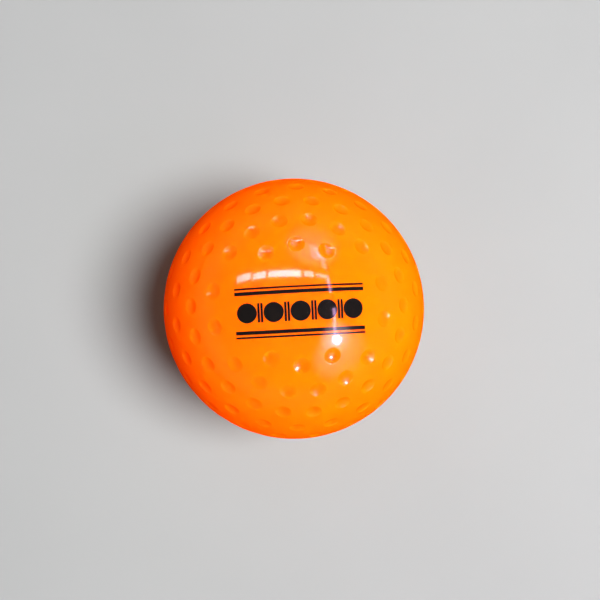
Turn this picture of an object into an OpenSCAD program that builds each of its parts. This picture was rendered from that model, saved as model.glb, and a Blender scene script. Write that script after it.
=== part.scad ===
// Field hockey ball with a dimpled plastic cover.
// Two moulded cups are welded at their rims over a quilted centre, in which
// layers of twine and cork are built up on a rubberised cork nucleus.
// Millimetres. The origin is the centre of the ball, and +Z leaves through the
// middle of the smooth area that is kept free of dimples for a print.

/* [Ball] */
// Diameter of the ball
ball_d = 73; // [71.3:0.1:74.8]
// Wall of the moulded cover
cover_wall = 5; // [4:0.25:6.5]

/* [Cover joint] */
// Thickness of the tongue on the upper cup's rim
tongue_w = 1.6; // [1:0.1:2.2]
// Height of the tongue
tongue_h = 2; // [1:0.25:3]
// Clearance of the tongue in its groove, filled by the weld
tongue_gap = 0.1; // [0.05:0.05:0.3]
// Edge break on each rim, which leaves the fine line round the ball
seam_break = 0.15; // [0.05:0.05:0.4]

/* [Dimples] */
// Width of a dimple over its rounded lip
dimple_d = 4.6; // [3.8:0.1:5.4]
// Depth of a dimple below the surface of the ball
dimple_depth = 0.55; // [0.4:0.05:0.8]
// Radius of the rounded lip
dimple_lip_r = 0.8; // [0.5:0.05:1]

/* [Dimple rows] */
// Angle from the pole to the first row
first_row_angle = 24; // [22:0.5:26]
// Angle from one row to the next
row_step = 12; // [11:0.25:12.25]
// Dimples in each of the two arcs of the first row
first_arc_count = 3; // [1:1:5]
// Angle between the dimples of those arcs
first_arc_step = 30; // [24:1:34]
// Dimples in each of the two arcs of the second row
second_arc_count = 6; // [2:1:7]
// Angle between the dimples of those arcs
second_arc_step = 20; // [15:1:21]
// Angle between the two dimples at each end of the print area
end_pair_step = 24; // [18:1:30]
// Number of full rows between the second row and the rim
full_row_count = 4; // [1:1:4]
// Dimples round a full row
full_row_dimples = 22; // [12:1:24]
// Turn of the full rows against the print area
full_row_turn = -2.5; // [-8:0.5:8]

/* [Quilted centre] */
// Thickness of the outer layer of twine
outer_twine_wall = 3; // [2:0.25:4]
// Thickness of the outer layer of cork
outer_cork_wall = 3; // [2:0.25:4]
// Thickness of the middle layer of twine
middle_twine_wall = 3; // [2:0.25:4]
// Thickness of the inner layer of cork
inner_cork_wall = 3; // [2:0.25:4]
// Thickness of the inner layer of twine
inner_twine_wall = 3.5; // [2:0.25:5]
// Gap between layers, filled by rubber solution
layer_gap = 0.1; // [0.05:0.05:0.2]

/* [Hidden] */
$fn = 72;
cut_over = 0.5;
ball_r = ball_d / 2;
cavity_r = ball_r - cover_wall;
tongue_in_r = (ball_r + cavity_r - tongue_w) / 2;

// Outer radius of each layer, from the cover inwards
outer_twine_r = cavity_r - layer_gap;
outer_cork_r = outer_twine_r - outer_twine_wall - layer_gap;
middle_twine_r = outer_cork_r - outer_cork_wall - layer_gap;
inner_cork_r = middle_twine_r - middle_twine_wall - layer_gap;
inner_twine_r = inner_cork_r - inner_cork_wall - layer_gap;
nucleus_r = inner_twine_r - inner_twine_wall - layer_gap;

// The lip is a ring of round section. It meets the ball, and the bowl meets it, at a small
// angle and not at a true tangent.
lip_break = 12;
lip_angle = asin(dimple_d / 2 / ball_r);
lip_centre_r = sqrt(ball_r ^ 2 + dimple_lip_r ^ 2 - 2 * ball_r * dimple_lip_r * cos(lip_break));
lip_x = lip_centre_r * sin(lip_angle);
lip_y = lip_centre_r * cos(lip_angle);

// The bowl is part of a ball that touches the dimple's floor and runs out into its lip
floor_y = ball_r - dimple_depth;
lip_rise = lip_y - floor_y;
bowl_r = (lip_x ^ 2 + lip_rise ^ 2 - dimple_lip_r ^ 2)
    / (2 * (dimple_lip_r * cos(lip_break) + lip_rise));
bowl_y = floor_y + bowl_r;

// Each dimple of one cup, as its angle from the pole and its angle round the pole
function arc_of_dimples(row_angle, middle, count, step) =
    [for (i = [0 : count - 1]) [row_angle, middle + (i - (count - 1) / 2) * step]];

second_row_angle = first_row_angle + row_step;
full_row_step = 360 / full_row_dimples;
function full_row_start(row) = full_row_turn + full_row_step * (row % 2) / 2;

first_row = [
    for (middle = [90, 270])
        each arc_of_dimples(first_row_angle, middle, first_arc_count, first_arc_step)
];
second_row_arcs = [
    for (middle = [90, 270])
        each arc_of_dimples(second_row_angle, middle, second_arc_count, second_arc_step)
];
second_row_ends = [
    for (middle = [0, 180])
        each arc_of_dimples(second_row_angle, middle, 2, end_pair_step)
];
full_rows = [
    for (row = [0 : full_row_count - 1])
        for (i = [0 : full_row_dimples - 1])
            [second_row_angle + row_step * (row + 1), full_row_start(row) + full_row_step * i]
];
cup_dimples = concat(first_row, second_row_arcs, second_row_ends, full_rows);

// The lower cup is turned so that the last rows of the two cups stand staggered
lower_cup_turn = 2 * full_row_start(full_row_count - 1) - full_row_step / 2;

// Half section of a cup's wall, with the rim on the X axis
module cup_section() {
    difference() {
        intersection() {
            circle(r = ball_r);
            square(2 * ball_r);
        }
        circle(r = cavity_r);
        polygon([
            [ball_r - 2 * seam_break, -seam_break],
            [ball_r + 2 * seam_break, -seam_break],
            [ball_r + 2 * seam_break, 3 * seam_break]
        ]);
    }
}

// Half section of the tongue, or of its groove with the clearance added
module tongue_section(gap) {
    translate([tongue_in_r - gap, -cut_over])
        square([tongue_w + 2 * gap, tongue_h + gap + cut_over]);
}

// What one dimple takes out of the ball's surface at the pole. Above the line from the bowl's
// centre to the lip's, the lip is left standing, and below it the bowl is hollowed out.
module dimple_cut() {
    top_y = ball_r + cut_over;
    top_x = lip_x * (bowl_y - top_y) / (bowl_y - lip_y);
    edge_x = top_y * sin(lip_angle);
    edge_y = top_y * cos(lip_angle);
    rotate_extrude() {
        difference() {
            polygon([[top_x, top_y], [lip_x, lip_y], [edge_x, edge_y], [edge_x, top_y]]);
            translate([lip_x, lip_y])
                circle(r = dimple_lip_r);
        }
        intersection() {
            translate([0, bowl_y])
                circle(r = bowl_r);
            translate([0, floor_y - cut_over])
                square([lip_x, top_y - floor_y + cut_over]);
        }
    }
}

module dimple_cuts() {
    for (dimple = cup_dimples)
        rotate([0, dimple[0], dimple[1]])
            dimple_cut();
}

module upper_cover() {
    color("darkorange")
        difference() {
            union() {
                rotate_extrude()
                    cup_section();
                rotate_extrude()
                    mirror([0, 1])
                        tongue_section(0);
            }
            dimple_cuts();
        }
}

module lower_cover() {
    color("darkorange")
        rotate([180, 0, lower_cup_turn])
            difference() {
                rotate_extrude()
                    difference() {
                        cup_section();
                        tongue_section(tongue_gap);
                    }
                dimple_cuts();
            }
}

// A wound layer, whole all round
module twine_layer(outer_r, wall) {
    color("wheat")
        difference() {
            sphere(r = outer_r);
            sphere(r = outer_r - wall);
        }
}

// Half of a cork layer, on the +Y side
module cork_half(outer_r, wall) {
    color("burlywood")
        rotate_extrude(angle = 180)
            difference() {
                intersection() {
                    circle(r = outer_r);
                    translate([0, -2 * outer_r])
                        square([2 * outer_r, 4 * outer_r]);
                }
                circle(r = outer_r - wall);
            }
}

module outer_twine() {
    twine_layer(outer_twine_r, outer_twine_wall);
}

module outer_cork_left() {
    rotate([0, 0, 90])
        cork_half(outer_cork_r, outer_cork_wall);
}

module outer_cork_right() {
    rotate([0, 0, -90])
        cork_half(outer_cork_r, outer_cork_wall);
}

module middle_twine() {
    twine_layer(middle_twine_r, middle_twine_wall);
}

module inner_cork_front() {
    rotate([0, 0, 180])
        cork_half(inner_cork_r, inner_cork_wall);
}

module inner_cork_back() {
    cork_half(inner_cork_r, inner_cork_wall);
}

module inner_twine() {
    twine_layer(inner_twine_r, inner_twine_wall);
}

module nucleus() {
    color("saddlebrown")
        sphere(r = nucleus_r);
}

upper_cover();
lower_cover();
outer_twine();
outer_cork_left();
outer_cork_right();
middle_twine();
inner_cork_front();
inner_cork_back();
inner_twine();
nucleus();
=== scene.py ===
import math
import bmesh
import bpy
from mathutils import Matrix, Vector
from mathutils.kdtree import KDTree


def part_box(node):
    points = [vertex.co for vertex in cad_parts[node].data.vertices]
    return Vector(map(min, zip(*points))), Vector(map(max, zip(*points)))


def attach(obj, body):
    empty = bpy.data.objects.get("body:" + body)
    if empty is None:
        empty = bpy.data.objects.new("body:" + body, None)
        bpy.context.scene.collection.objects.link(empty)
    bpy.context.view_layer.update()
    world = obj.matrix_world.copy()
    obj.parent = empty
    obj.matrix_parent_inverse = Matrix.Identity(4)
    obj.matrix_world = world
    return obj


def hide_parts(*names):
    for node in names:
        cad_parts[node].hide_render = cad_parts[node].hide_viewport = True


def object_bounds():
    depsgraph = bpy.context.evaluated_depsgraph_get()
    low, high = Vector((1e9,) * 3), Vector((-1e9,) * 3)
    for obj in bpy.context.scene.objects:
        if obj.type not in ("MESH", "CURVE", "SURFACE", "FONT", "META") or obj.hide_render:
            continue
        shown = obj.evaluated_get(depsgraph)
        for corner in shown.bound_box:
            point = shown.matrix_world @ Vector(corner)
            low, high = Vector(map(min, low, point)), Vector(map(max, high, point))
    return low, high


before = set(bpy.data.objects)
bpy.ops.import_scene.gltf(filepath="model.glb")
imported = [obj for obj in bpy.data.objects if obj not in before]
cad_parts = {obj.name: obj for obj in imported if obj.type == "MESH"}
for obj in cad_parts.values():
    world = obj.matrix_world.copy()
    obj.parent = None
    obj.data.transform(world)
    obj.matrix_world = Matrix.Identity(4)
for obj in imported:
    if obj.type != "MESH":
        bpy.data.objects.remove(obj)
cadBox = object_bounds()
mm = 0.001
tolerance = 1e-7  # metres
sharpAngle = 40.0  # degrees, steeper edges stay sharp
ballRadius = (cadBox[1].z - cadBox[0].z) / 2
scene = bpy.context.scene
scene.view_settings.view_transform = "Standard"
print("frame loaded:", len(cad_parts), "nodes, ball radius", round(ballRadius / mm, 3), "mm")

# camera over the ball: distance in ball radii, roll in degrees, lens and sensor in mm, clip in metres
viewpoint = {
    "distance": 6.28,
    "lean": (-0.0411, -0.0280),
    "roll": -2.94,
    "lens": 48.43,
    "sensor": 36.0,
    "shift": (0.0102, 0.0145),
    "clip": (0.01, 50.0),
}


def setCamera():
    leanX, leanY = viewpoint["lean"]
    back = Vector((leanX, leanY, math.sqrt(1 - leanX ** 2 - leanY ** 2)))
    right = Vector((0, 1, 0)).cross(back).normalized()
    up = back.cross(right)
    turn = Matrix((right, up, back)).transposed()
    turn = Matrix.Rotation(math.radians(viewpoint["roll"]), 3, back) @ turn
    data = bpy.data.cameras.new("overBall")
    data.lens = viewpoint["lens"]
    data.sensor_width = viewpoint["sensor"]
    data.shift_x, data.shift_y = viewpoint["shift"]
    data.clip_start, data.clip_end = viewpoint["clip"]
    camera = bpy.data.objects.new("overBall", data)
    camera.matrix_world = Matrix.Translation(back * ballRadius * viewpoint["distance"]) @ turn.to_4x4()
    scene.collection.objects.link(camera)
    scene.camera = camera


setCamera()
print("camera set")


def newMaterial(name):
    material = bpy.data.materials.new(name)
    material.use_nodes = True
    tree = material.node_tree
    return material, tree, tree.nodes["Principled BSDF"]


def addNode(tree, kind, settings=None, **inputs):
    node = tree.nodes.new(kind)
    for key, value in (settings or {}).items():
        setattr(node, key, value)
    for key, value in inputs.items():
        node.inputs[key].default_value = value
    return node


def noiseOn(tree, coords, scale, detail=3.0, roughness=0.5):
    noise = addNode(tree, "ShaderNodeTexNoise", Scale=scale, Detail=detail, Roughness=roughness)
    tree.links.new(coords, noise.inputs["Vector"])
    return noise


def rampOn(tree, factor, positions, colours):
    ramp = addNode(tree, "ShaderNodeValToRGB")
    elements = ramp.color_ramp.elements
    while len(elements) < len(positions):
        elements.new(0.5)
    for element, position, colour in zip(elements, positions, colours):
        element.position = position
        element.color = (*colour, 1.0)
    tree.links.new(factor, ramp.inputs["Fac"])
    return ramp


def fadeBetween(tree, value, low, high, atHigh):
    fade = addNode(tree, "ShaderNodeMapRange", {"interpolation_type": "SMOOTHSTEP"})
    fade.inputs["From Min"].default_value = low
    fade.inputs["From Max"].default_value = high
    fade.inputs["To Max"].default_value = atHigh
    tree.links.new(value, fade.inputs["Value"])
    return fade.outputs["Result"]


def mixColours(tree, factor, first, second):
    mix = addNode(tree, "ShaderNodeMix", {"data_type": "RGBA"})
    tree.links.new(factor, mix.inputs["Factor"])
    for side, colour in (("A", first), ("B", second)):
        socket = next(i for i in mix.inputs if i.name == side and i.type == "RGBA")
        if isinstance(colour, tuple):
            socket.default_value = (*colour, 1.0)
        else:
            tree.links.new(colour, socket)
    return next(o for o in mix.outputs if o.type == "RGBA")


def placePiece(name, bm, material):
    bm.normal_update()
    mesh = bpy.data.meshes.new(name)
    bm.to_mesh(mesh)
    bm.free()
    mesh.polygons.foreach_set("use_smooth", [True] * len(mesh.polygons))
    mesh.set_sharp_from_angle(angle=math.radians(sharpAngle))
    mesh.materials.append(material)
    piece = bpy.data.objects.new(name, mesh)
    scene.collection.objects.link(piece)
    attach(piece, "root")
    return piece


# moulded orange plastic of the cover
coverPlastic = {
    "orange": (1.0, 0.265, 0.001),
    "deepOrange": (1.0, 0.245, 0.001),
    "cloud": {"scale": 70.0, "detail": 4.0},
    "cloudRange": (0.35, 0.65),
    # painted shade: the bowls of the dimples are a darker orange, between these depths
    "bowlShadeOrange": (1.0, 0.233, 0.001),
    "bowlShadeDepth": (0.15 * mm, 0.45 * mm),
    "roughness": (0.30, 0.45),
    "haze": {"scale": 260.0, "detail": 6.0, "roughness": 0.6},
    "hazeRange": (0.3, 0.7),
    "wave": {"scale": 220.0, "detail": 2.0},  # slight waviness left by the mould
    "waveDepth": 0.02 * mm,
    "waveStrength": 0.35,
    "shine": 1.0,
    "edgeFade": 0.93,
    "coat": {"Coat IOR": 2.0, "Coat Roughness": 0.08},
    # painted glow: the cover gives off a steady red light of its own
    "paintedRedGlow": ((1.0, 0.025, 0.0), 0.775),
    "softness": 0.2,
    "depth": {
        "Subsurface Weight": 1.0,
        "Subsurface Radius": (1.0, 0.6, 0.1),
        "Subsurface Scale": 7.0 * mm,
    },
    "rim": {"Sheen Weight": 1.0, "Sheen Roughness": 0.42, "Sheen Tint": (1.0, 0.05, 0.0, 1.0)},
}


def addClearSkin(tree, shader):
    # the skin does the shining, less so where it is seen edge on
    facing = addNode(tree, "ShaderNodeLayerWeight", Blend=coverPlastic["edgeFade"])
    weight = addNode(tree, "ShaderNodeMapRange", **{"To Min": coverPlastic["shine"], "To Max": 0.0})
    tree.links.new(facing.outputs["Facing"], weight.inputs["Value"])
    tree.links.new(weight.outputs["Result"], shader.inputs["Coat Weight"])
    shader.inputs["Specular IOR Level"].default_value = 0.0
    for socket, value in coverPlastic["coat"].items():
        shader.inputs[socket].default_value = value


def softNormal(tree, coords):
    # light spreads in the plastic, so its body shades a little more like a plain ball than its skin
    outward = addNode(tree, "ShaderNodeVectorTransform",
                      {"vector_type": "NORMAL", "convert_from": "OBJECT", "convert_to": "WORLD"})
    tree.links.new(coords, outward.inputs["Vector"])
    mix = addNode(tree, "ShaderNodeMix", {"data_type": "VECTOR"}, Factor=coverPlastic["softness"])
    sides = [i for i in mix.inputs if i.type == "VECTOR" and i.name in "AB"]
    tree.links.new(addNode(tree, "ShaderNodeNewGeometry").outputs["Normal"], sides[0])
    tree.links.new(outward.outputs["Vector"], sides[1])
    soft = addNode(tree, "ShaderNodeVectorMath", {"operation": "NORMALIZE"})
    tree.links.new(next(o for o in mix.outputs if o.type == "VECTOR"), soft.inputs[0])
    return soft.outputs["Vector"]


def makeCoverPlastic():
    material, tree, shader = newMaterial("coverPlastic")
    coords = addNode(tree, "ShaderNodeTexCoord").outputs["Object"]
    cloud = noiseOn(tree, coords, **coverPlastic["cloud"])
    shades = (coverPlastic["deepOrange"], coverPlastic["orange"])
    colour = rampOn(tree, cloud.outputs["Fac"], coverPlastic["cloudRange"], shades)
    level = addNode(tree, "ShaderNodeVectorMath", {"operation": "LENGTH"})
    tree.links.new(coords, level.inputs[0])
    # painted shade: a darker orange fills the dimple bowls
    top, bottom = [ballRadius - d for d in coverPlastic["bowlShadeDepth"]]
    paintedBowlShade = fadeBetween(tree, level.outputs["Value"], top, bottom, 1.0)
    whole = mixColours(tree, paintedBowlShade, colour.outputs["Color"], coverPlastic["bowlShadeOrange"])
    tree.links.new(whole, shader.inputs["Base Color"])
    haze = noiseOn(tree, coords, **coverPlastic["haze"])
    start, end = coverPlastic["hazeRange"]
    low, high = coverPlastic["roughness"]
    gloss = addNode(tree, "ShaderNodeMapRange",
                    **{"From Min": start, "From Max": end, "To Min": low, "To Max": high})
    tree.links.new(haze.outputs["Fac"], gloss.inputs["Value"])
    tree.links.new(gloss.outputs["Result"], shader.inputs["Roughness"])
    wave = noiseOn(tree, coords, **coverPlastic["wave"])
    bump = addNode(tree, "ShaderNodeBump",
                   Strength=coverPlastic["waveStrength"], Distance=coverPlastic["waveDepth"])
    tree.links.new(wave.outputs["Fac"], bump.inputs["Height"])
    tree.links.new(softNormal(tree, coords), shader.inputs["Normal"])
    tree.links.new(bump.outputs["Normal"], shader.inputs["Coat Normal"])
    addClearSkin(tree, shader)
    glowColour, glowStrength = coverPlastic["paintedRedGlow"]  # painted glow: a steady red emission, lit or not, lifting the shaded side; it stands in partly for the pigment's real fluorescence
    shader.inputs["Emission Color"].default_value = (*glowColour, 1.0)
    shader.inputs["Emission Strength"].default_value = glowStrength
    for socket, value in (*coverPlastic["depth"].items(), *coverPlastic["rim"].items()):
        shader.inputs[socket].default_value = value
    return material


coverMaterial = makeCoverPlastic()

# the two cups, with the joint of their rims
coverCups = {
    "wall": 5.0 * mm,
    "tongueWidth": 1.6 * mm,
    "tongueHeight": 2.0 * mm,
    "tongueGap": 0.1 * mm,
    "seamBreak": 0.15 * mm,
    "skinMargin": 0.01 * mm,
    "gridCuts": 79,
    "innerSteps": 24,
}

# one dimple, and the rows of one cup in degrees
dimples = {
    "width": 4.6 * mm,
    "depth": 0.55 * mm,
    "lipRadius": 0.8 * mm,
    "holeMargin": 0.3 * mm,
    "weld": 0.001 * mm,
    "steps": 24,
    "lipSteps": 4,
    "bowlSteps": 4,
    "firstRow": 24.0,
    "rowStep": 12.0,
    "firstArc": (3, 30.0),
    "secondArc": (6, 20.0),
    "endPair": (2, 24.0),
    "fullRows": 4,
    "fullRowCount": 22,
    "fullRowTurn": -2.5,
}


def arcOfDimples(polar, middle, count, step):
    return [(polar, middle + (i - (count - 1) / 2) * step) for i in range(count)]


def fullRowStart(row):
    return dimples["fullRowTurn"] + (row % 2) * 180.0 / dimples["fullRowCount"]


def dimplePlaces():
    places = []
    second = dimples["firstRow"] + dimples["rowStep"]
    for middle in (90, 270):
        places += arcOfDimples(dimples["firstRow"], middle, *dimples["firstArc"])
        places += arcOfDimples(second, middle, *dimples["secondArc"])
        places += arcOfDimples(second, middle - 90, *dimples["endPair"])
    for row in range(dimples["fullRows"]):
        polar = second + dimples["rowStep"] * (row + 1)
        step = 360.0 / dimples["fullRowCount"]
        places += [(polar, fullRowStart(row) + step * i) for i in range(dimples["fullRowCount"])]
    return places


def turnTo(polar, around):
    return Matrix.Rotation(math.radians(around), 4, "Z") @ Matrix.Rotation(math.radians(polar), 4, "Y")


def dimpleForm():
    # the lip is a ring of round section that leaves the ball smoothly, the bowl part of a ball
    lip = dimples["lipRadius"]
    edge = math.asin(dimples["width"] / 2 / ballRadius)
    lipX = (ballRadius - lip) * math.sin(edge)
    lipZ = (ballRadius - lip) * math.cos(edge)
    floorZ = ballRadius - dimples["depth"]
    rise = lipZ - floorZ
    bowl = (lipX ** 2 + rise ** 2 - lip ** 2) / (2 * (lip + rise))
    slope = math.atan2(lipX, floorZ + bowl - lipZ)
    return {"lip": lip, "edge": edge, "lipX": lipX, "lipZ": lipZ,
            "floorZ": floorZ, "bowl": bowl, "slope": slope}


def dimpleMesh(form):
    bm = bmesh.new()
    section = []
    for i in range(dimples["lipSteps"] + 1):
        t = form["edge"] - (form["edge"] + form["slope"]) * i / dimples["lipSteps"]
        x = form["lipX"] + form["lip"] * math.sin(t)
        section.append(bm.verts.new((x, 0, form["lipZ"] + form["lip"] * math.cos(t))))
    for i in range(1, dimples["bowlSteps"] + 1):
        t = form["slope"] * (1 - i / dimples["bowlSteps"])
        z = form["floorZ"] + form["bowl"] * (1 - math.cos(t))
        section.append(bm.verts.new((form["bowl"] * math.sin(t), 0, z)))
    chain = [bm.edges.new(pair) for pair in zip(section, section[1:])]
    bmesh.ops.spin(bm, geom=section + chain, cent=(0, 0, 0), axis=(0, 0, 1), dvec=(0, 0, 0),
                   angle=2 * math.pi, steps=dimples["steps"], use_merge=True)
    bmesh.ops.remove_doubles(bm, verts=bm.verts[:], dist=dimples["weld"])
    mesh = bpy.data.meshes.new("dimple")
    bm.to_mesh(mesh)
    bm.free()
    return mesh


def trueNormal(point, axis, form):
    along = point.dot(axis)
    off = point - axis * along
    out = off.length
    if along < 0 or out > ballRadius * math.sin(form["edge"]) - tolerance:
        return point.normalized()
    if out > form["bowl"] * math.sin(form["slope"]) - tolerance:
        ring = axis * form["lipZ"] + off * (form["lipX"] / out)
        return (point - ring).normalized()
    return (axis * (form["floorZ"] + form["bowl"]) - point).normalized()


def setTrueNormals(mesh, axes, form):
    # exact normals on the ball and in the dimples keep the reflections clean
    tree = KDTree(len(axes))
    for i, axis in enumerate(axes):
        tree.insert(axis, i)
    tree.balance()
    outer = ballRadius - dimples["depth"] - coverCups["skinMargin"]
    rim = coverCups["seamBreak"] - coverCups["skinMargin"]
    onSkin = [v.co.length > outer and abs(v.co.z) > rim for v in mesh.vertices]
    normals = [Vector()] * len(mesh.loops)
    for face in mesh.polygons:
        if all(onSkin[i] for i in face.vertices):
            for loop in face.loop_indices:
                point = mesh.vertices[mesh.loops[loop].vertex_index].co
                axis = axes[tree.find(point.normalized())[1]]
                normals[loop] = trueNormal(point, axis, form)
    mesh.normals_split_custom_set(normals)


def halfBall():
    bm = bmesh.new()
    bmesh.ops.create_cube(bm, size=2.0)
    bmesh.ops.subdivide_edges(bm, edges=bm.edges[:], cuts=coverCups["gridCuts"], use_grid_fill=True)
    for vert in bm.verts:  # the cube swells to a ball with an even grid
        swollen = Vector([math.tan(c * math.pi / 4) for c in vert.co])
        vert.co = swollen.normalized() * ballRadius
    whole = bm.verts[:] + bm.edges[:] + bm.faces[:]
    bmesh.ops.bisect_plane(bm, geom=whole, dist=tolerance, plane_co=(0, 0, coverCups["seamBreak"]),
                           plane_no=(0, 0, 1), clear_inner=True)
    return bm


def cutHole(bm, towards):
    angle = (dimples["width"] / 2 + dimples["holeMargin"]) / ballRadius
    reach = math.cos(2 * angle) * ballRadius  # looks no further than twice the hole
    near = [v for v in bm.verts if v.co.dot(towards) > reach]
    geom = list({g for v in near for g in (v, *v.link_edges, *v.link_faces)})
    cut = bmesh.ops.bisect_plane(bm, geom=geom, dist=dimples["weld"], clear_outer=True,
                                 plane_co=towards * ballRadius * math.cos(angle), plane_no=towards)
    hole = [g for g in cut["geom_cut"] if isinstance(g, bmesh.types.BMEdge)]
    for vert in {v for e in hole for v in e.verts}:
        vert.co = vert.co.normalized() * ballRadius
    return hole


def addDimples(bm, turns, form):
    mould = dimpleMesh(form)
    up = Vector((0, 0, 1))
    holes = [cutHole(bm, turn.to_3x3() @ up) for turn in turns]
    old = set(bm.verts)
    bm.from_mesh(mould)
    bpy.data.meshes.remove(mould)
    pattern = [v for v in bm.verts if v not in old]
    patternGeom = list({g for v in pattern for g in (v, *v.link_edges, *v.link_faces)})
    for turn, hole in zip(turns, holes):
        made = bmesh.ops.duplicate(bm, geom=patternGeom)["geom"]
        verts = [g for g in made if isinstance(g, bmesh.types.BMVert)]
        bmesh.ops.transform(bm, matrix=turn, verts=verts)
        lip = [g for g in made if isinstance(g, bmesh.types.BMEdge) and g.is_boundary]
        bmesh.ops.triangle_fill(bm, use_beauty=True, edges=hole + lip, normal=turn.to_3x3() @ up)
    bmesh.ops.delete(bm, geom=pattern, context="VERTS")
    print("dimples in one cup:", len(turns))


def runLoop(bm, loop, reach, height):
    made = bmesh.ops.extrude_edge_only(bm, edges=loop)["geom"]
    verts = [g for g in made if isinstance(g, bmesh.types.BMVert)]
    for vert in verts:
        around = math.atan2(vert.co.y, vert.co.x)
        vert.co = (reach * math.cos(around), reach * math.sin(around), height)
    fresh = set(verts)
    edges = [g for g in made if isinstance(g, bmesh.types.BMEdge)]
    return [e for e in edges if fresh.issuperset(e.verts)]


dimpleTurns = [turnTo(*place) for place in dimplePlaces()]
dimpledHalf = halfBall()
addDimples(dimpledHalf, dimpleTurns, dimpleForm())


def makeCup(name, hasTongue):
    cups = coverCups
    cavity = ballRadius - cups["wall"]
    inside = (ballRadius + cavity - cups["tongueWidth"]) / 2
    outside = inside + cups["tongueWidth"]
    height = -cups["tongueHeight"]
    if not hasTongue:  # groove, with the clearance all round
        inside -= cups["tongueGap"]
        outside += cups["tongueGap"]
        height = cups["tongueHeight"] + cups["tongueGap"]
    bm = dimpledHalf.copy()
    rim = [e for e in bm.edges if e.is_boundary]
    section = [(ballRadius - cups["seamBreak"], 0), (outside, 0), (outside, height),
               (inside, height), (inside, 0), (cavity, 0)]
    for i in range(1, cups["innerSteps"]):
        rise = math.radians(90.0 * i / cups["innerSteps"])
        section.append((cavity * math.cos(rise), cavity * math.sin(rise)))
    for reach, level in section:
        rim = runLoop(bm, rim, reach, level)
    top = list({v for e in rim for v in e.verts})
    bmesh.ops.pointmerge(bm, verts=top, merge_co=(0, 0, cavity))
    flip = Matrix.Identity(3)
    if not hasTongue:  # turned so that the last rows of the two cups stand staggered
        lastRow = fullRowStart(dimples["fullRows"] - 1)
        turn = math.radians(2 * lastRow - 180.0 / dimples["fullRowCount"])
        flip = Matrix.Rotation(turn, 3, "Z") @ Matrix.Rotation(math.pi, 3, "X")
    bmesh.ops.rotate(bm, verts=bm.verts[:], cent=(0, 0, 0), matrix=flip)
    bmesh.ops.recalc_face_normals(bm, faces=bm.faces[:])
    gaps = sum(not e.is_manifold for e in bm.edges)
    print(name, "has", len(bm.faces), "faces,", gaps, "open edges,",
          round(bm.calc_volume(signed=True) / mm ** 3), "cubic mm")
    piece = placePiece(name, bm, coverMaterial)
    axes = [flip @ turn.to_3x3() @ Vector((0, 0, 1)) for turn in dimpleTurns]
    setTrueNormals(piece.data, axes, dimpleForm())
    return piece


upperCup = makeCup("upper_cup", True)
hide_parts("upper_cover")
lowerCup = makeCup("lower_cup", False)
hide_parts("lower_cover")

# the cover's painted red glow stays on the ball and off the floor
litByPaintedGlow = bpy.data.collections.new("litByPaintedGlow")
for cup in (upperCup, lowerCup):
    litByPaintedGlow.objects.link(cup)
    cup.light_linking.receiver_collection = litByPaintedGlow

# bead and reel band in black ink on the smooth area, in mm from its middle
printBand = {
    "middle": (0.1, -1.55),
    "length": 31.5,
    "rules": [(4.75, 0.87), (5.9, 0.44)],
    "beads": 5,
    "beadWidth": 4.85,
    "beadStep": 6.45,
    "beadRings": 4,
    "beadSteps": 32,
    "reelGap": 0.77,
    "reelSize": (0.53, 4.65),
    "film": 0.016,
    "weld": 0.01,
    "inkDark": (0.010, 0.008, 0.008),
    "inkThin": (0.018, 0.012, 0.010),
    "inkBlot": {"scale": 900.0, "detail": 5.0, "roughness": 0.6},
    "inkRange": (0.45, 0.8),
    "inkRoughness": 0.4,
}


def makeInk():
    material, tree, shader = newMaterial("blackInk")
    coords = addNode(tree, "ShaderNodeTexCoord").outputs["Object"]
    blot = noiseOn(tree, coords, **printBand["inkBlot"])
    inks = (printBand["inkDark"], printBand["inkThin"])
    colour = rampOn(tree, blot.outputs["Fac"], printBand["inkRange"], inks)
    tree.links.new(colour.outputs["Color"], shader.inputs["Base Color"])
    shader.inputs["Roughness"].default_value = printBand["inkRoughness"]
    addClearSkin(tree, shader)
    return material


def addBar(bm, middle, size):
    steps = [max(1, round(side)) for side in size]
    made = bmesh.ops.create_grid(bm, x_segments=steps[0], y_segments=steps[1], size=0.5)
    bmesh.ops.scale(bm, verts=made["verts"], vec=(*size, 1))
    bmesh.ops.translate(bm, verts=made["verts"], vec=(*middle, 0))


def addBead(bm, middle, width):
    rings = printBand["beadRings"]
    ringStep = width / 2 / rings
    spoke = [bm.verts.new((middle[0] + ringStep * i, middle[1], 0)) for i in range(rings + 1)]
    chain = [bm.edges.new(pair) for pair in zip(spoke, spoke[1:])]
    bmesh.ops.spin(bm, geom=spoke + chain, cent=(*middle, 0), axis=(0, 0, 1), dvec=(0, 0, 0),
                   angle=2 * math.pi, steps=printBand["beadSteps"], use_merge=True)


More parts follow.
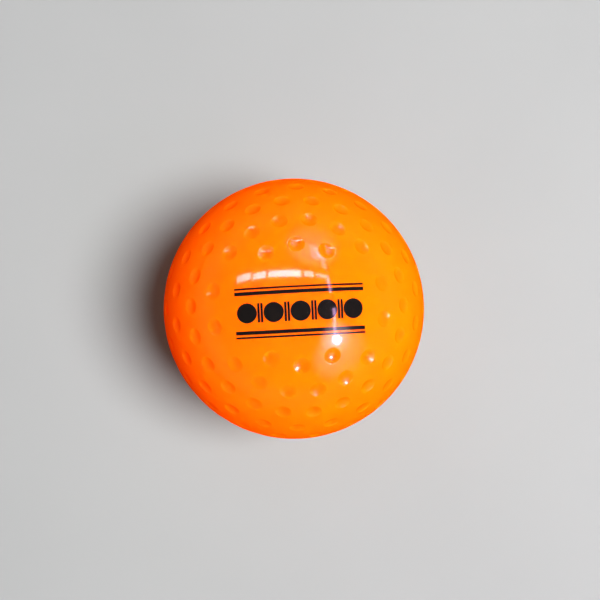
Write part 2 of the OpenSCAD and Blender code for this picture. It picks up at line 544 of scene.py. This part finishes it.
def makePrint():
    band = printBand
    bm = bmesh.new()
    for height, thick in band["rules"]:
        addBar(bm, (0, height), (band["length"], thick))
        addBar(bm, (0, -height), (band["length"], thick))
    first = -(band["beads"] - 1) / 2 * band["beadStep"]
    for i in range(band["beads"]):
        addBead(bm, (first + i * band["beadStep"], 0), band["beadWidth"])
    for i in range(band["beads"] - 1):
        for side in (-0.5, 0.5):
            x = first + (i + 0.5) * band["beadStep"] + side * band["reelGap"]
            addBar(bm, (x, 0), band["reelSize"])
    bmesh.ops.remove_doubles(bm, verts=bm.verts[:], dist=band["weld"])
    bmesh.ops.translate(bm, verts=bm.verts[:], vec=(*band["middle"], 0))
    bmesh.ops.scale(bm, verts=bm.verts[:], vec=(mm, mm, mm))
    for vert in bm.verts:  # laid on the ball
        flat = vert.co.xy.length_squared
        vert.co.z = math.sqrt(ballRadius ** 2 - flat)
    bmesh.ops.recalc_face_normals(bm, faces=bm.faces[:])
    if sum(f.normal.z for f in bm.faces) < 0:
        bmesh.ops.reverse_faces(bm, faces=bm.faces[:])
    film = band["film"] * mm
    made = bmesh.ops.extrude_face_region(bm, geom=bm.faces[:])["geom"]
    top = [g for g in made if isinstance(g, bmesh.types.BMVert)]
    for vert in bm.verts:
        vert.co *= 1 - film / 2 / ballRadius
    for vert in top:
        vert.co *= 1 + film / ballRadius
    bmesh.ops.recalc_face_normals(bm, faces=bm.faces[:])
    print("print band has", len(bm.faces), "faces")
    return placePiece("print_band", bm, makeInk())


makePrint()

# layers of twine, each a yarn wound round and round on a closed bed, in mm
twineLayers = {
    "yarnWidth": 1.2,
    "yarnResolution": 1,
    "bedDepth": 1.5,
    "bedSegments": (64, 32),
    "lift": 0.3,  # of the first turns' middle above the bed
    "weld": 0.0005,
    "wall": {"outer_twine": 3.0, "middle_twine": 3.0, "inner_twine": 3.5},
    "turns": {"outer_twine": 110, "middle_twine": 90, "inner_twine": 70},
    "stepLength": 3.3,
    "drift": 0.062,
    "pale": (0.60, 0.50, 0.36),
    "dark": (0.38, 0.29, 0.18),
    "shadeRange": (0.35, 0.62),
    "fibre": {"scale": 1500.0, "detail": 6.0, "roughness": 0.7},
    "fibreShare": 0.6,
    "fibreDepth": 0.12,
    "fibreStrength": 0.6,
    "blotch": {"scale": 160.0, "detail": 3.0},
    "blotchShare": 0.4,
    "roughness": 0.85,
    "specular": 0.25,
}


def makeTwine():
    material, tree, shader = newMaterial("naturalTwine")
    coords = addNode(tree, "ShaderNodeTexCoord").outputs["Object"]
    fibre = noiseOn(tree, coords, **twineLayers["fibre"])
    blotch = noiseOn(tree, coords, **twineLayers["blotch"])
    mix = addNode(tree, "ShaderNodeMath", {"operation": "MULTIPLY_ADD"})
    mix.inputs[1].default_value = twineLayers["fibreShare"]
    tree.links.new(fibre.outputs["Fac"], mix.inputs[0])
    rest = addNode(tree, "ShaderNodeMath", {"operation": "MULTIPLY"})
    rest.inputs[1].default_value = twineLayers["blotchShare"]
    tree.links.new(blotch.outputs["Fac"], rest.inputs[0])
    tree.links.new(rest.outputs["Value"], mix.inputs[2])
    shades = (twineLayers["dark"], twineLayers["pale"])
    colour = rampOn(tree, mix.outputs["Value"], twineLayers["shadeRange"], shades)
    tree.links.new(colour.outputs["Color"], shader.inputs["Base Color"])
    bump = addNode(tree, "ShaderNodeBump",
                   Strength=twineLayers["fibreStrength"], Distance=twineLayers["fibreDepth"] * mm)
    tree.links.new(fibre.outputs["Fac"], bump.inputs["Height"])
    tree.links.new(bump.outputs["Normal"], shader.inputs["Normal"])
    shader.inputs["Roughness"].default_value = twineLayers["roughness"]
    shader.inputs["Specular IOR Level"].default_value = twineLayers["specular"]
    return material


def woundYarn(radius, turns):
    # each turn is a great circle, and its axis drifts until the ball is covered
    yarn = twineLayers["yarnWidth"] / 2 * mm
    deepest = (twineLayers["bedDepth"] - twineLayers["lift"]) * mm - yarn
    steps = round(2 * math.pi * radius / (twineLayers["stepLength"] * mm))
    curve = bpy.data.curves.new("yarn", "CURVE")
    curve.dimensions = "3D"
    curve.bevel_depth = yarn
    curve.bevel_resolution = twineLayers["yarnResolution"]
    curve.use_fill_caps = True
    spline = curve.splines.new("POLY")
    spline.points.add(turns * steps)
    for i, point in enumerate(spline.points):
        share = i / (turns * steps)
        lean = Matrix.Rotation(math.acos(1 - share), 3, "Y")
        turn = Matrix.Rotation(2 * math.pi * twineLayers["drift"] * i / steps, 3, "Z")
        around = 2 * math.pi * i / steps
        place = turn @ lean @ Vector((math.cos(around), math.sin(around), 0))
        reach = radius - yarn - deepest * (1 - share)
        point.co = (*(place * reach), 1.0)
    yarnObject = bpy.data.objects.new("yarn", curve)
    mesh = bpy.data.meshes.new_from_object(yarnObject)
    bpy.data.objects.remove(yarnObject)
    bpy.data.curves.remove(curve)
    return mesh


def makeWinding(name, node, material):
    low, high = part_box(node)
    radius = (high[2] - low[2]) / 2
    bm = bmesh.new()
    bed = radius - twineLayers["bedDepth"] * mm
    inner = radius - twineLayers["wall"][node] * mm
    around, upward = twineLayers["bedSegments"]
    bmesh.ops.create_uvsphere(bm, u_segments=around, v_segments=upward, radius=bed)
    lining = bmesh.ops.create_uvsphere(bm, u_segments=around, v_segments=upward, radius=inner)
    bmesh.ops.reverse_faces(bm, faces=list({f for v in lining["verts"] for f in v.link_faces}))
    yarn = woundYarn(radius, twineLayers["turns"][node])
    bm.from_mesh(yarn)
    bpy.data.meshes.remove(yarn)
    weld = twineLayers["weld"] * mm  # closes the yarn's ends
    bmesh.ops.remove_doubles(bm, verts=bm.verts[:], dist=weld)
    gaps = sum(not e.is_manifold for e in bm.edges)
    print(name, "has", len(bm.faces), "faces,", gaps, "open edges")
    piece = placePiece(name, bm, material)
    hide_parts(node)


twineMaterial = makeTwine()
makeWinding("outer_winding", "outer_twine", twineMaterial)
makeWinding("middle_winding", "middle_twine", twineMaterial)
makeWinding("inner_winding", "inner_twine", twineMaterial)

# pressed cork granules, and the darker ones of the nucleus in rubber
granules = {
    "grainShare": 0.7,
    "speckShare": 0.3,
    "speckFineness": 4,
    "speck": {"detail": 3.0, "roughness": 0.6},
    "speckRange": (0.3, 0.7),
    "seamWidth": 0.12,
    "seamDepth": 0.2 * mm,
    "seamStrength": 0.5,
}
corkFinish = {
    "grain": 620.0,
    "shadeRange": (0.0, 0.25, 0.6, 1.0),
    "shades": ((0.20, 0.105, 0.045), (0.42, 0.25, 0.12), (0.56, 0.36, 0.19), (0.66, 0.46, 0.27)),
    "seam": (0.24, 0.135, 0.06),
    "roughness": 0.9,
}
nucleusFinish = {
    "grain": 480.0,
    "shadeRange": (0.0, 0.4, 1.0),
    "shades": ((0.09, 0.05, 0.03), (0.20, 0.115, 0.06), (0.34, 0.21, 0.11)),
    "seam": (0.015, 0.012, 0.010),
    "roughness": 0.7,
}


def makeGranules(name, finish):
    material, tree, shader = newMaterial(name)
    coords = addNode(tree, "ShaderNodeTexCoord").outputs["Object"]
    grain = addNode(tree, "ShaderNodeTexVoronoi", Scale=finish["grain"])
    edge = addNode(tree, "ShaderNodeTexVoronoi", {"feature": "DISTANCE_TO_EDGE"}, Scale=finish["grain"])
    speck = noiseOn(tree, coords, finish["grain"] * granules["speckFineness"], **granules["speck"])
    tree.links.new(coords, grain.inputs["Vector"])
    tree.links.new(coords, edge.inputs["Vector"])
    split = addNode(tree, "ShaderNodeSeparateColor")
    tree.links.new(grain.outputs["Color"], split.inputs["Color"])
    shade = addNode(tree, "ShaderNodeMath", {"operation": "MULTIPLY_ADD"})
    shade.inputs[1].default_value = granules["grainShare"]
    tree.links.new(split.outputs["Red"], shade.inputs[0])
    fleck = fadeBetween(tree, speck.outputs["Fac"], *granules["speckRange"], granules["speckShare"])
    tree.links.new(fleck, shade.inputs[2])
    colour = rampOn(tree, shade.outputs["Value"], finish["shadeRange"], finish["shades"])
    inside = fadeBetween(tree, edge.outputs["Distance"], 0.0, granules["seamWidth"], 1.0)
    whole = mixColours(tree, inside, finish["seam"], colour.outputs["Color"])
    tree.links.new(whole, shader.inputs["Base Color"])
    bump = addNode(tree, "ShaderNodeBump",
                   Strength=granules["seamStrength"], Distance=granules["seamDepth"])
    tree.links.new(inside, bump.inputs["Height"])
    tree.links.new(bump.outputs["Normal"], shader.inputs["Normal"])
    shader.inputs["Roughness"].default_value = finish["roughness"]
    return material


corkMaterial = makeGranules("pressedCork", corkFinish)
for corkNode in ("outer_cork_left", "outer_cork_right", "inner_cork_front", "inner_cork_back"):
    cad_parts[corkNode].material_slots[0].material = corkMaterial
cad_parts["nucleus"].material_slots[0].material = makeGranules("rubberedCork", nucleusFinish)
print("inner layers finished")

# soft lamps that light the ball and the floor: where they stand and their width in metres, and glow
# as the brightness of the lamp's face
softLamps = {
    "overhead": {"place": (0.47, -0.09, 1.105), "width": 0.60, "glow": 23.4},
    "side": {"place": (0.99, -0.65, 1.00), "width": 0.50, "glow": 1.6},
    "rear": {"place": (-0.51, 1.41, 0.55), "width": 0.60, "glow": 2.15},
    "fromBelow": {"place": (0.0, 0.0, -0.036), "width": 0.17, "glow": 0.54},  # the lower half alone
}

# lamps that only glint in the clear skin, all at one height: x and y of the middle and size in
# metres, turn in degrees, glow and tint
glintHeight = 1.0
glintTints = {"pane": (1.0, 0.80, 0.98), "sky": (1.0, 0.55, 1.0)}
glintLamps = {
    "key": {"middle": (0.714, -0.631), "size": (0.145, 0.145), "turn": 0.0, "glow": 176.0, "tint": "sky"},
    "pane1": {"middle": (-1.059, 0.660), "size": (0.48, 0.16), "turn": -5.8, "glow": 11.5, "tint": "pane"},
    "pane2": {"middle": (-0.620, 0.584), "size": (0.28, 0.13), "turn": -5.8, "glow": 11.0, "tint": "pane"},
    "pane3": {"middle": (-0.171, 0.538), "size": (0.53, 0.12), "turn": -5.8, "glow": 10.0, "tint": "pane"},
    "pane4": {"middle": (0.217, 0.499), "size": (0.15, 0.10), "turn": -5.8, "glow": 7.2, "tint": "pane"},
    "pane5": {"middle": (0.427, 0.477), "size": (0.20, 0.06), "turn": -5.8, "glow": 5.8, "tint": "pane"},
    "tubeUpper": {"middle": (0.542, 0.337), "size": (0.05, 0.29), "turn": 2.0, "glow": 6.7, "tint": "sky"},
    "tubeLower": {"middle": (0.615, -0.308), "size": (0.05, 0.52), "turn": 6.0, "glow": 7.9, "tint": "sky"},
    "farWindow": {"middle": (0.517, 1.064), "size": (0.15, 0.34), "turn": 2.0, "glow": 10.5, "tint": "sky"},
    "farCurtain": {"middle": (0.468, 1.093), "size": (0.28, 0.52), "turn": 2.0, "glow": 3.1, "tint": "sky"},
    "farSill": {"middle": (0.527, 0.781), "size": (0.08, 0.32), "turn": 2.0, "glow": 3.7, "tint": "sky"},
}


def addLamp(name, shape, size, glow, place):
    data = bpy.data.lights.new(name, "AREA")
    data.shape = shape
    data.size, data.size_y = size
    face = size[0] * size[1] * (math.pi / 4 if shape == "DISK" else 1)
    data.energy = glow * math.pi * face
    lamp = bpy.data.objects.new(name, data)
    lamp.location = place
    lamp.visible_camera = False
    scene.collection.objects.link(lamp)
    return lamp


def addSoftLamp(name, values):
    lamp = addLamp(name, "DISK", (values["width"], values["width"]), values["glow"], values["place"])
    lamp.rotation_euler = lamp.location.to_track_quat("Z", "Y").to_euler()
    lamp.visible_glossy = False


def addGlintLamp(name, values):
    wide, high = values["size"]
    shape = "DISK" if wide == high else "RECTANGLE"
    lamp = addLamp(name, shape, values["size"], values["glow"], (*values["middle"], glintHeight))
    lamp.rotation_euler = (0, 0, math.radians(values["turn"]))
    if shape == "DISK":  # a round lamp faces the ball
        lamp.rotation_euler = lamp.location.to_track_quat("Z", "Y").to_euler()
    lamp.data.color = glintTints[values["tint"]]
    lamp.visible_diffuse = False


for lampName, lampValues in softLamps.items():
    addSoftLamp(lampName, lampValues)
for lampName, lampValues in glintLamps.items():
    addGlintLamp(lampName, lampValues)
print("lamps:", len(softLamps) + len(glintLamps))

# pale near the horizon and dim overhead, with soft patches of light, to the eye and in
# reflections, and an even dim light on everything else
surroundings = {
    "evenLight": (0.015, 0.015, 0.015),
    "horizon": (0.60, 0.595, 0.59),
    "overhead": (0.02, 0.02, 0.02),
    "fade": (0.0, 0.40),
    "patchTint": (1.0, 0.80, 1.0),
    "patches": [
        {"towards": (0.26, 0.79, 0.55), "reach": (23.0, 0.0), "glow": 1.7},
        {"towards": (0.56, -0.64, 0.53), "reach": (26.0, 0.0), "glow": 2.4},
        {"towards": (0.511, -0.444, 0.719), "reach": (15.0, 2.0), "glow": 3.51},
    ],
}


def rayIsSeen(tree):
    path = addNode(tree, "ShaderNodeLightPath")
    seen = path.outputs["Is Camera Ray"]
    for ray in ("Is Glossy Ray", "Is Transmission Ray"):
        either = addNode(tree, "ShaderNodeMath", {"operation": "MAXIMUM"})
        tree.links.new(seen, either.inputs[0])
        tree.links.new(path.outputs[ray], either.inputs[1])
        seen = either.outputs["Value"]
    return seen


def makeWorld():
    world = bpy.data.worlds.new("paleRoom")
    scene.world = world
    world.use_nodes = True
    tree = world.node_tree
    coords = addNode(tree, "ShaderNodeTexCoord").outputs["Generated"]
    split = addNode(tree, "ShaderNodeSeparateXYZ")
    tree.links.new(coords, split.inputs["Vector"])
    height = fadeBetween(tree, split.outputs["Z"], *surroundings["fade"], 1.0)
    sky = mixColours(tree, height, surroundings["horizon"], surroundings["overhead"])
    for patch in surroundings["patches"]:
        facing = addNode(tree, "ShaderNodeVectorMath", {"operation": "DOT_PRODUCT"})
        facing.inputs[1].default_value = Vector(patch["towards"]).normalized()
        tree.links.new(coords, facing.inputs[0])
        wide, narrow = [math.cos(math.radians(a)) for a in patch["reach"]]
        glow = fadeBetween(tree, facing.outputs["Value"], wide, narrow, patch["glow"])
        tinted = addNode(tree, "ShaderNodeVectorMath", {"operation": "SCALE"})
        tinted.inputs[0].default_value = surroundings["patchTint"]
        tree.links.new(glow, tinted.inputs["Scale"])
        both = addNode(tree, "ShaderNodeVectorMath", {"operation": "ADD"})
        tree.links.new(sky, both.inputs[0])
        tree.links.new(tinted.outputs["Vector"], both.inputs[1])
        sky = both.outputs["Vector"]
    light = mixColours(tree, rayIsSeen(tree), surroundings["evenLight"], sky)
    tree.links.new(light, tree.nodes["Background"].inputs["Color"])


makeWorld()

# the floor is pale to the eye and in reflections, and throws little light back on the ball
floorBoard = {
    "reach": 6.0,
    "pale": (0.455, 0.465, 0.46),
    "palest": (0.48, 0.49, 0.485),
    "thrownBack": (0.02, 0.02, 0.02),
    "lamplight": (0.15, 0.6),  # fades out between these reaches, into the even far floor
    "far": (0.60, 0.595, 0.59),
    "cloud": {"scale": 9.0, "detail": 4.0},
    "cloudRange": (0.3, 0.7),
    "roughness": 0.75,
    "sides": 96,
}


def makeFloor():
    material, tree, shader = newMaterial("paleFloor")
    coords = addNode(tree, "ShaderNodeTexCoord").outputs["Object"]
    cloud = noiseOn(tree, coords, **floorBoard["cloud"])
    shades = (floorBoard["pale"], floorBoard["palest"])
    colour = rampOn(tree, cloud.outputs["Fac"], floorBoard["cloudRange"], shades)
    seen = rayIsSeen(tree)
    near = mixColours(tree, seen, floorBoard["thrownBack"], colour.outputs["Color"])
    tree.links.new(near, shader.inputs["Base Color"])
    even = addNode(tree, "ShaderNodeEmission")
    far = mixColours(tree, seen, floorBoard["thrownBack"], floorBoard["far"])
    tree.links.new(far, even.inputs["Color"])
    reach = addNode(tree, "ShaderNodeVectorMath", {"operation": "LENGTH"})
    tree.links.new(coords, reach.inputs[0])
    both = addNode(tree, "ShaderNodeMixShader")
    outward = fadeBetween(tree, reach.outputs["Value"], *floorBoard["lamplight"], 1.0)
    tree.links.new(outward, both.inputs["Fac"])
    tree.links.new(shader.outputs["BSDF"], both.inputs[1])
    tree.links.new(even.outputs["Emission"], both.inputs[2])
    tree.links.new(both.outputs["Shader"], tree.nodes["Material Output"].inputs["Surface"])
    shader.inputs["Roughness"].default_value = floorBoard["roughness"]
    bm = bmesh.new()
    bmesh.ops.create_circle(bm, cap_ends=True, segments=floorBoard["sides"], radius=floorBoard["reach"])
    bmesh.ops.translate(bm, verts=bm.verts[:], vec=(0, 0, cadBox[0].z))
    mesh = bpy.data.meshes.new("floor")
    bm.to_mesh(mesh)
    bm.free()
    mesh.materials.append(material)
    floor = bpy.data.objects.new("floor", mesh)
    scene.collection.objects.link(floor)


makeFloor()
print("floor and surroundings set")
